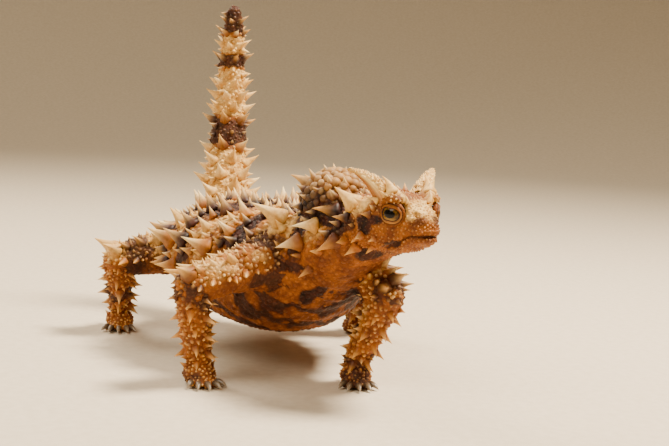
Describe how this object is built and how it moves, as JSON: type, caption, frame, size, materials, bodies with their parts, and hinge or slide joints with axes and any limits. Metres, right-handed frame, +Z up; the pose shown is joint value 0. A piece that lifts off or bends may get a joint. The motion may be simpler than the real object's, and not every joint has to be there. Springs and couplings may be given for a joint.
{
  "type": "thorny devil lizard",
  "caption": "Still, life-size thorny devil lizard standing in mid-step, spiny all over, with a raised banded tail, a knob on the nape and a horn above each eye.",
  "frame": {"origin": "centre of the bottom of the bounding box, on the ground between the feet", "axes": "+X towards the head, +Y to the animal's left, +Z up"},
  "size_m": [0.1114, 0.0712, 0.0773],
  "materials": {
    "skin": "dry, granular scales in orange, cream and maroon-brown",
    "horn": "dull keratin, cream with darker tips",
    "eye": "wet and glossy, dark with a narrow brown iris"
  },
  "bodies": {
    "root": {"head": "skin", "neck": "skin", "nape_hump": "skin", "torso": "skin", "tail_base": "skin", "tail_middle": "skin", "tail_tip": "skin", "upper_arm_right": "skin", "forearm_right": "skin", "hand_right": "skin", "thigh_right": "skin", "shin_right": "skin", "foot_right": "skin", "upper_arm_left": "skin", "forearm_left": "skin", "hand_left": "skin", "thigh_left": "skin", "shin_left": "skin", "foot_left": "skin", "eye_right": "eye", "eye_left": "eye", "horn_right": "horn", "horn_left": "horn"}
  },
  "joints": []
}
